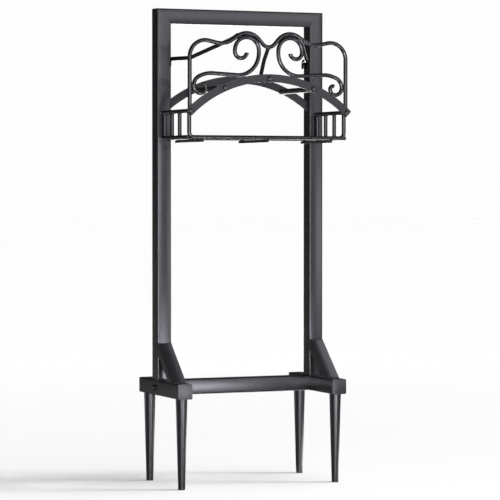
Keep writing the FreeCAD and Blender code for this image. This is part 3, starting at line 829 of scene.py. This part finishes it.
class Assembly:
    """A group of CAD nodes and welds that are finished together."""

    def __init__(
        self, nodes: dict[str, bpy.types.Object], shop: FinishShop, welds: WeldShop
    ) -> None:
        """Keeps what the group is finished with.

        Args:
            nodes: The CAD nodes, by name.
            shop: Where the materials come from.
            welds: Where the welds come from.
        """
        self.nodes = nodes
        self.shop = shop
        self.welds = welds
        self.pieces: list[str] = []

    def paint(self, finish: Finish, *names: str) -> None:
        """Gives CAD nodes the material of a finish.

        Args:
            finish: Their finish.
            names: Names of the nodes.
        """
        material = self.shop.material(finish)
        for name in names:
            mesh = self.nodes[name].data
            mesh.materials.clear()
            mesh.materials.append(material)
        self.pieces.extend(names)

    def weld(self, name: str, seams: list[Seam], bead: Bead) -> None:
        """Lays the welds of the group as one piece.

        Args:
            name: Name of the piece.
            seams: The welds.
            bead: Their ripples.
        """
        self.welds.lay(name, seams, bead)
        self.pieces.append(name)


@dataclass(frozen=True)
class StandSizes:
    """Sizes of the stand, in metres.

    Args:
        rail_top: Height of the foot rails' top.
        brace_rise: Height of the brace's weld on the post above the brace's foot.
        brace_inset: How far the brace's welds stop short of its edges.
        bead: Ripples of the welds.
    """

    rail_top: float = 0.243
    brace_rise: float = 0.085
    brace_inset: float = 0.002
    bead: Bead = Bead(0.0017, seed=11)


class Stand(Assembly):
    """Posts, bars, foot rails, braces, caps and ground stakes."""

    sizes = StandSizes()

    def finish(self) -> None:
        """Paints the stand and lays its welds."""
        self.paint(Palette.POST, *pair("post"))
        self.paint(Palette.TOP_BAR, "top_bar")
        self.paint(Palette.CROSS_BAR, "cross_bar")
        self.paint(Palette.RAIL, *pair("foot_rail"))
        self.paint(Palette.BRACE, *pair("brace"))
        for end in ENDS:
            self.paint(Palette.CAP, *pair(f"{end}_cap"))
            self.paint(Palette.STAKE, *pair(f"{end}_stake"))
        self.paint(Palette.FASTENER, *pair("side_bolt"))
        self.paint(Palette.PLATED, "stake_nuts", "cross_bar_inserts")
        seams = [seam for side in SIDES for seam in self.side_seams(side)]
        self.weld("stand_welds", seams, self.sizes.bead)

    def side_seams(self, side: str) -> list[Seam]:
        """The welds of one post's foot and of its brace.

        Args:
            side: The side, left or right.
        Returns:
            Three seams.
        """
        low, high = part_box(f"{side}_post")
        brace_low, brace_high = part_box(f"{side}_brace")
        base = self.sizes.rail_top
        top = brace_low.z + self.sizes.brace_rise
        start = brace_low.x + self.sizes.brace_inset
        end = brace_high.x - self.sizes.brace_inset
        return [
            block_seam(Vector((low.x, low.y, base)), Vector((high.x, high.y, base))),
            Seam((Vector((start, low.y, top)), Vector((end, low.y, top)))),
            Seam((Vector((start, brace_low.y, base)), Vector((end, brace_low.y, base)))),
        ]


@dataclass(frozen=True)
class HeadSizes:
    """Sizes of the bent rod head, in metres.

    Args:
        rod: Radius of the loop's and the scrolls' rod.
        strut: Radius of the strut.
        side_rod: Radius of the top side rods that carry the loop.
        spacer: Radius of the spacer that carries the strut.
        plane: Y of the loop's and the scrolls' axis.
        side_x: X of the loop's uprights.
        side_z: Height of the side rods' axis.
        crown_x: X at which a scroll's crown touches the loop.
        crown_z: Height of that touch.
        valley_z: Height of the loop's axis in the valley between its humps.
        strut_elbow: The strut's bend.
        strut_foot: The strut's end on the spacer.
        stay_start: X and height of one end of a stay's weld on the loop.
        stay_end: X and height of its other end.
        weld_length: Length of a weld between two rods that touch.
        groove: Distance of such a weld from the touch.
        bead: Ripples of the welds.
    """

    rod: float = 0.00475
    strut: float = 0.0045
    side_rod: float = 0.005
    spacer: float = 0.00625
    plane: float = -0.132625
    side_x: float = 0.1943
    side_z: float = 0.863
    crown_x: float = 0.05396
    crown_z: float = 1.03655
    valley_z: float = 1.0105
    strut_elbow: tuple[float, float, float] = (0, -0.106325, 0.981)
    strut_foot: tuple[float, float, float] = (0, -0.082625, 0.9385)
    stay_start: tuple[float, float] = (0.071, 1.0379)
    stay_end: tuple[float, float] = (0.086, 1.0280)
    weld_length: float = 0.014
    groove: float = 0.0030
    bead: Bead = Bead(0.0012, seed=5)


class Head(Assembly):
    """The wavy loop, the scrolls, the stays and the strut."""

    sizes = HeadSizes()

    def finish(self) -> None:
        """Paints the head and lays its welds."""
        self.paint(Palette.ROD, "front_loop", "centre_strut", *pair("scroll"), *pair("stay"))
        seams = self.strut_seams()
        for side, sign in SIDES.items():
            seams.extend(self.side_seams(side, sign))
        self.weld("head_welds", seams, self.sizes.bead)

    def strut_seams(self) -> list[Seam]:
        """The welds at both ends of the strut.

        Returns:
            Two seams.
        """
        size = self.sizes
        valley = Vector((0, size.plane, size.valley_z))
        elbow = Vector(size.strut_elbow)
        foot = Vector(size.strut_foot)
        return [
            joint_ring(Rod(valley, elbow - valley, size.strut), Rod(valley, RIGHT_AXIS, size.rod)),
            joint_ring(Rod(foot, elbow - foot, size.strut), Rod(foot, BACK_AXIS, size.spacer)),
        ]

    def side_seams(self, side: str, sign: int) -> list[Seam]:
        """The welds of one half of the head.

        Args:
            side: The side, left or right.
            sign: -1 for the left, 1 for the right.
        Returns:
            Seven seams.
        """
        size = self.sizes
        lengths = (size.weld_length, size.groove)
        foot = Vector((sign * size.side_x, size.plane, size.side_z))
        seams = [joint_ring(Rod(foot, UP_AXIS, size.rod), Rod(foot, BACK_AXIS, size.side_rod))]
        crown = Vector((sign * size.crown_x, size.plane, size.crown_z))
        seams.extend(contact_seams(crown, RIGHT_AXIS, BACK_AXIS, *lengths))
        height = touching_height(self.nodes[f"{side}_scroll"], sign)
        touch = Vector((sign * (size.side_x - size.rod), size.plane, height))
        seams.extend(contact_seams(touch, UP_AXIS, BACK_AXIS, *lengths))
        back = size.plane + size.rod
        start, end = (Vector((sign * x, back, z)) for x, z in (size.stay_start, size.stay_end))
        across = (end - start).cross(BACK_AXIS).normalized()
        seams.extend(contact_seams((start + end) / 2, end - start, across, *lengths))
        return seams


@dataclass(frozen=True)
class SaddleSizes:
    """Sizes of the saddle, in metres.

    Args:
        bar_end_x: X of the rear bar's ends on the posts.
        bar_end_low: Lowest height of the welds there.
        bar_end_high: Highest height of the welds there.
        bead: Ripples of the welds.
    """

    bar_end_x: float = 0.1757
    bar_end_low: float = 0.871
    bar_end_high: float = 0.892
    bead: Bead = Bead(0.0013, seed=7)


class Saddle(Assembly):
    """The two arched bars, the three spacers and their bolts."""

    sizes = SaddleSizes()

    def finish(self) -> None:
        """Paints the saddle and lays the welds of its rear bar."""
        self.paint(Palette.FLAT_BAR, "front_arch", "rear_arch")
        self.paint(Palette.ROD, "centre_spacer", *pair("spacer"))
        bolts = ("saddle_front_bolts", "saddle_rear_bolts", "corner_bolts", "post_bolts")
        self.paint(Palette.FASTENER, *bolts)
        self.weld("saddle_welds", self.end_seams(), self.sizes.bead)

    def end_seams(self) -> list[Seam]:
        """The upright welds of the rear bar's ends, on its front and its back.

        Returns:
            Four seams.
        """
        size = self.sizes
        low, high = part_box("rear_arch")
        spots = [(sign * size.bar_end_x, y) for sign in SIDES.values() for y in (low.y, high.y)]
        return [
            Seam((Vector((x, y, size.bar_end_low)), Vector((x, y, size.bar_end_high))))
            for x, y in spots
        ]


@dataclass(frozen=True)
class BasketSizes:
    """Sizes of the basket, in metres.

    Args:
        side_rod: Radius of the side rods.
        front_rod: Radius of the front rod.
        upright: Radius of the uprights.
        rear_rod: Radius of the rear rod.
        floor_rod: Radius of the floor rods.
        floor_reach: Reach of a floor rod's weld along it, as a share of the other rod's radius.
        floor_points: Points round such a weld.
        bead: Ripples of the welds.
    """

    side_rod: float = 0.005
    front_rod: float = 0.00475
    upright: float = 0.0045
    rear_rod: float = 0.0045
    floor_rod: float = 0.0031
    floor_reach: float = 0.75
    floor_points: int = 16
    bead: Bead = Bead(0.0011, seed=9)


class Basket(Assembly):
    """The open rod basket below the saddle."""

    sizes = BasketSizes()

    def finish(self) -> None:
        """Paints the basket and lays its welds."""
        places = ("rear", "middle", "front")
        uprights = [f"{side}_{place}_upright" for side in SIDES for place in places]
        floor = [f"{place}_floor_rod" for place in ("left", "centre", "right")]
        rods = ["basket_front_rod", "basket_rear_rod", *pair("top_rod"), *pair("bottom_rod")]
        self.paint(Palette.ROD, *rods, *uprights, *floor)
        seams = [seam for name in uprights for seam in self.upright_seams(name)]
        seams.extend(seam for name in floor for seam in self.floor_seams(name))
        self.weld("basket_welds", seams, self.sizes.bead)

    def upright_seams(self, name: str) -> list[Seam]:
        """The rings at both ends of an upright.

        Args:
            name: Name of the upright's node.
        Returns:
            Two seams.
        """
        size = self.sizes
        side = name.split("_")[0]
        at = middle_of(name)
        seams = []
        for rod, away in ((f"{side}_bottom_rod", UP_AXIS), (f"{side}_top_rod", -UP_AXIS)):
            end = Vector((at.x, at.y, middle_of(rod).z))
            side_rod = Rod(end, BACK_AXIS, size.side_rod)
            seams.append(joint_ring(Rod(end, away, size.upright), side_rod))
        return seams

    def floor_seams(self, name: str) -> list[Seam]:
        """The welds of a floor rod under the front rod and under the rear rod.

        Args:
            name: Name of the floor rod's node.
        Returns:
            Two seams.
        """
        size = self.sizes
        at = middle_of(name)
        front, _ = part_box("basket_front_rod")
        rear = middle_of("basket_rear_rod")
        contact = at.z + size.floor_rod
        seams = []
        for y, radius in ((front.y + size.front_rod, size.front_rod), (rear.y, size.rear_rod)):
            spots = []
            for turn in turns(size.floor_points):
                across = size.floor_rod * math.cos(turn)
                along = size.floor_reach * radius * math.sin(turn)
                spots.append(Vector((at.x + across, y + along, contact)))
            seams.append(Seam(tuple(spots), closed=True))
        return seams


@dataclass(frozen=True)
class CameraSizes:
    """Where the photograph was taken from, in metres.

    Args:
        place: The lens.
        target: The point that it looks at.
        lens: Focal length, in millimetres.
        sensor: Width of the sensor, in millimetres.
        shift: How far the view is moved right and up, as a share of its width.
        reach: The furthest distance that it shows.
    """

    place: tuple[float, float, float] = (-2.2985, -5.3544, 0.6973)
    target: tuple[float, float, float] = (0, 0.044375, 0.540)
    lens: float = 179.57
    sensor: float = 36.0
    shift: tuple[float, float] = (0.0235, 0.0024)
    reach: float = 200.0


@dataclass(frozen=True)
class Lamp:
    """A soft light.

    Args:
        name: Name of the light.
        place: Where it hangs, in metres.
        width: Width of its face, in metres.
        height: Height of its face, in metres.
        power: Power, in watts.
        gloss_only: Whether it only shows in reflections.
    """

    name: str
    place: tuple[float, float, float]
    width: float
    height: float
    power: float
    gloss_only: bool = False


@dataclass(frozen=True)
class DaylightRow:
    """One row of the bank of daylight.

    Args:
        height: How high it stands, in degrees.
        strength: Its strength.
        spread: Its width, in degrees.
    """

    height: float
    strength: float
    spread: float


@dataclass(frozen=True)
class Daylight:
    """A tall bank of light on the right, which draws the contact shadows on the floor.

    Args:
        bearing: The direction in which it shines, seen from above.
        rows: The rows of the bank, from the lowest up.
    """

    bearing: tuple[float, float] = (-0.919, 0.394)
    rows: tuple[DaylightRow, ...] = (
        DaylightRow(25.0, 2.9, 17.0),
        DaylightRow(46.0, 0.75, 60.0),
        DaylightRow(68.0, 1.15, 60.0),
    )


@dataclass(frozen=True)
class FloorShine:
    """A bright patch of floor that undersides reflect.

    Args:
        place: Its middle on the floor, in metres.
        inner: Radius inside which it is even, in metres.
        outer: Radius at which it has faded to the rest, in metres.
        level: Its brightness.
    """

    place: tuple[float, float]
    inner: float
    outer: float
    level: float


@dataclass(frozen=True)
class FloorSettings:
    """The floor, as the lamps light it and as the camera and glossy faces see it.

    Args:
        half: Half its width, in metres.
        grey: Its colour under the lamps.
        share: Share of its own brightness in what the camera sees; the rest is lit floor.
        glow: That brightness at the middle, and far away.
        middle: The middle, in metres.
        fade: Distances from the middle between which that brightness changes, in metres.
        rest: Brightness that glossy faces see away from the bright patches.
        shines: The bright patches.
    """

    half: float = 40.0
    grey: float = 0.92
    share: float = 0.12
    glow: tuple[float, float] = (0.95, 1.82)
    middle: tuple[float, float] = (0.52, 0.1)
    fade: tuple[float, float] = (0.3, 4.0)
    rest: float = 0.15
    shines: tuple[FloorShine, ...] = (
        FloorShine((0.52, 0.1), 0.1, 0.42, 4.85),
        FloorShine((2.4, 4.4), 1.4, 2.6, 7.5),
    )


@dataclass(frozen=True)
class WorldSettings:
    """The background, and the dim room that light and gloss come from.

    Args:
        white: Strength of what the camera sees.
        room: Strength of the room.
        front_glow: What is added to it low in front of the object.
        front: Forward part of a direction at which that starts, and at which it is full.
        height: Upward part at which it starts to fade, and at which it is gone.
        blue: Blue of the room, as a share of its red.
    """

    white: float = 0.985
    room: float = 0.04
    front_glow: float = 0.12
    front: tuple[float, float] = (-0.1, 0.95)
    height: tuple[float, float] = (0.05, 0.55)
    blue: float = 1.04


@dataclass(frozen=True)
class StudioSettings:
    """Everything around the object.

    Args:
        camera: The camera.
        floor: The floor.
        world: The background and the room.
        lamps: The lamps.
        lamp_colour: Their colour, linear RGB.
        aim: The point that they shine at, in metres.
        daylight: The daylight.
    """

    camera: CameraSizes = CameraSizes()
    floor: FloorSettings = FloorSettings()
    world: WorldSettings = WorldSettings()
    lamps: tuple[Lamp, ...] = (
        Lamp("strip", (-0.2, -2.6, 0.75), 1.1, 0.6, 10.5),
        Lamp("foot", (-0.95, -2.5, 0.16), 0.8, 0.4, 22.0, gloss_only=True),
        Lamp("corner", (-1.9, -2.0, 0.8), 0.8, 1.0, 5.5, gloss_only=True),
        Lamp("low", (0.22, -1.2, 0.12), 0.46, 0.16, 4.0, gloss_only=True),
        Lamp("left", (-0.95, 0.75, 0.08), 0.4, 0.14, 0.4, gloss_only=True),
        Lamp("side", (2.0, -2.6, 0.5), 1.2, 0.4, 5.5, gloss_only=True),
        Lamp("broad", (1.1, -3.4, 1.5), 2.6, 0.8, 13.0),
        Lamp("high", (2.0, 0.0, 2.7), 1.5, 1.5, 8.5),
    )
    lamp_colour: tuple[float, float, float] = (0.985, 0.98, 1.09)
    aim: tuple[float, float, float] = (0, 0, 0.6)
    daylight: Daylight = Daylight()


def point_at(thing: bpy.types.Object, direction: Vector) -> None:
    """Turns a light or a camera to look in a direction."""
    thing.rotation_euler = direction.to_track_quat("-Z", "Y").to_euler()


class Studio:
    """The floor, the world, the lights and the camera."""

    def __init__(self, settings: StudioSettings) -> None:
        """Keeps the settings."""
        self.settings = settings

    def build(self) -> None:
        """Makes everything around the object."""
        self.make_floor()
        self.make_world()
        for lamp in self.settings.lamps:
            self.make_lamp(lamp)
        self.make_daylight()
        self.make_camera()
        bpy.context.scene.view_settings.view_transform = "Standard"

    def make_floor(self) -> None:
        """A plain pale floor that shows soft contact shadows."""
        half = self.settings.floor.half
        corners = [(-half, -half, 0), (half, -half, 0), (half, half, 0), (-half, half, 0)]
        mesh = bpy.data.meshes.new("studio_floor")
        mesh.from_pydata(corners, [], [(0, 1, 2, 3)])
        mesh.materials.append(self.floor_material())
        floor = add_object("studio_floor", mesh)

    def floor_material(self) -> bpy.types.Material:
        """The floor's material, which has its own brightness for the camera and for gloss.

        Returns:
            The material.
        """
        floor = self.settings.floor
        material = bpy.data.materials.new("studio_floor")
        material.use_nodes = True
        shader = Shader(material.node_tree)
        matt = shader.node("ShaderNodeBsdfDiffuse", Color=(floor.grey, floor.grey, floor.grey, 1))
        path = shader.node("ShaderNodeLightPath")
        camera = shader.value(path, "Is_Camera_Ray")
        gloss = shader.value(path, "Is_Glossy_Ray")
        seen = floor.rest
        for shine in floor.shines:
            distance = self.distance(shader, shine.place)
            seen = (1 - distance.step(shine.inner, shine.outer)) * shine.level + seen
        close, far = floor.glow
        pale = self.distance(shader, floor.middle).step(*floor.fade) * (far - close) + close
        strength = camera * pale + gloss * seen
        glow = shader.node("ShaderNodeEmission", Color=(1, 1, 1, 1), Strength=strength)
        share = (camera * floor.share + gloss).bounded()
        mixed = shader.mix(share, matt.outputs["BSDF"], glow.outputs["Emission"])
        shader.node("ShaderNodeOutputMaterial", Surface=mixed)
        return material

    def distance(self, shader: Shader, place: tuple[float, float]) -> Value:
        """How far a point of the floor lies from a place on it.

        Args:
            shader: The floor's tree.
            place: The place, in metres.
        Returns:
            The distance, in metres.
        """
        spot = shader.node("ShaderNodeTexCoord").outputs["Object"]
        between = {"operation": "DISTANCE"}
        away = shader.node("ShaderNodeVectorMath", between, Vector=spot, Vector_001=(*place, 0))
        return shader.value(away, "Value")

    def make_world(self) -> None:
        """White behind the object; for light and gloss, a dim room that is brighter in front."""
        sizes = self.settings.world
        world = bpy.data.worlds.new("studio_world")
        bpy.context.scene.world = world
        world.use_nodes = True
        shader = Shader(world.node_tree)
        direction = shader.node("ShaderNodeTexCoord").outputs["Generated"]
        _, backward, upward = shader.apart(direction)
        front = (-backward).step(*sizes.front) * (1 - upward.step(*sizes.height))
        level = front * sizes.front_glow + sizes.room
        grey = shader.colour(level, level, level * sizes.blue)
        room = shader.node("ShaderNodeBackground", Color=grey, Strength=1.0)
        white = shader.node("ShaderNodeBackground", Color=(1, 1, 1, 1), Strength=sizes.white)
        seen = shader.node("ShaderNodeLightPath").outputs["Is Camera Ray"]
        mixed = shader.mix(seen, room.outputs["Background"], white.outputs["Background"])
        shader.node("ShaderNodeOutputWorld", Surface=mixed)

    def make_lamp(self, lamp: Lamp) -> None:
        """Hangs one soft light, aimed at the object.

        Args:
            lamp: Its place, size and power.
        """
        data = bpy.data.lights.new(lamp.name, "AREA")
        data.shape = "RECTANGLE"
        data.size = lamp.width
        data.size_y = lamp.height
        data.energy = lamp.power
        data.color = self.settings.lamp_colour
        light = add_object(lamp.name, data)
        light.location = lamp.place
        light.visible_camera = False
        light.visible_diffuse = not lamp.gloss_only
        point_at(light, Vector(self.settings.aim) - Vector(lamp.place))

    def make_daylight(self) -> None:
        """The rows of the bank on the right, which leave the gloss to the lamps."""
        daylight = self.settings.daylight
        for row in daylight.rows:
            data = bpy.data.lights.new("daylight", "SUN")
            data.energy = row.strength
            data.angle = math.radians(row.spread)
            light = add_object("daylight", data)
            light.visible_glossy = False
            point_at(light, Vector((*daylight.bearing, -math.tan(math.radians(row.height)))))

    def make_camera(self) -> None:
        """The camera at the photograph's place and angle."""
        sizes = self.settings.camera
        data = bpy.data.cameras.new("camera")
        data.lens = sizes.lens
        data.sensor_width = sizes.sensor
        data.sensor_fit = "HORIZONTAL"
        data.shift_x, data.shift_y = sizes.shift
        data.clip_end = sizes.reach
        camera = add_object("camera", data)
        camera.location = sizes.place
        point_at(camera, Vector(sizes.target) - Vector(sizes.place))
        bpy.context.scene.camera = camera


def main() -> None:
    """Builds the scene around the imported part."""
    logging.basicConfig(level=logging.INFO, format="%(name)s: %(message)s")
    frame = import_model()
    shop = FinishShop()
    welds = WeldShop(shop.material(Palette.WELD))
    for kind in (Stand, Head, Saddle, Basket):
        part = kind(frame["nodes"], shop, welds)
        part.finish()
        for piece in part.pieces:
            LOG.info("%s: %s", kind.__name__, piece)
    settings = StudioSettings()
    Studio(settings).build()
    LOG.info("Studio: %d lamps", len(settings.lamps))
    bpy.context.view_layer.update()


if __name__ == "__main__":
    main()
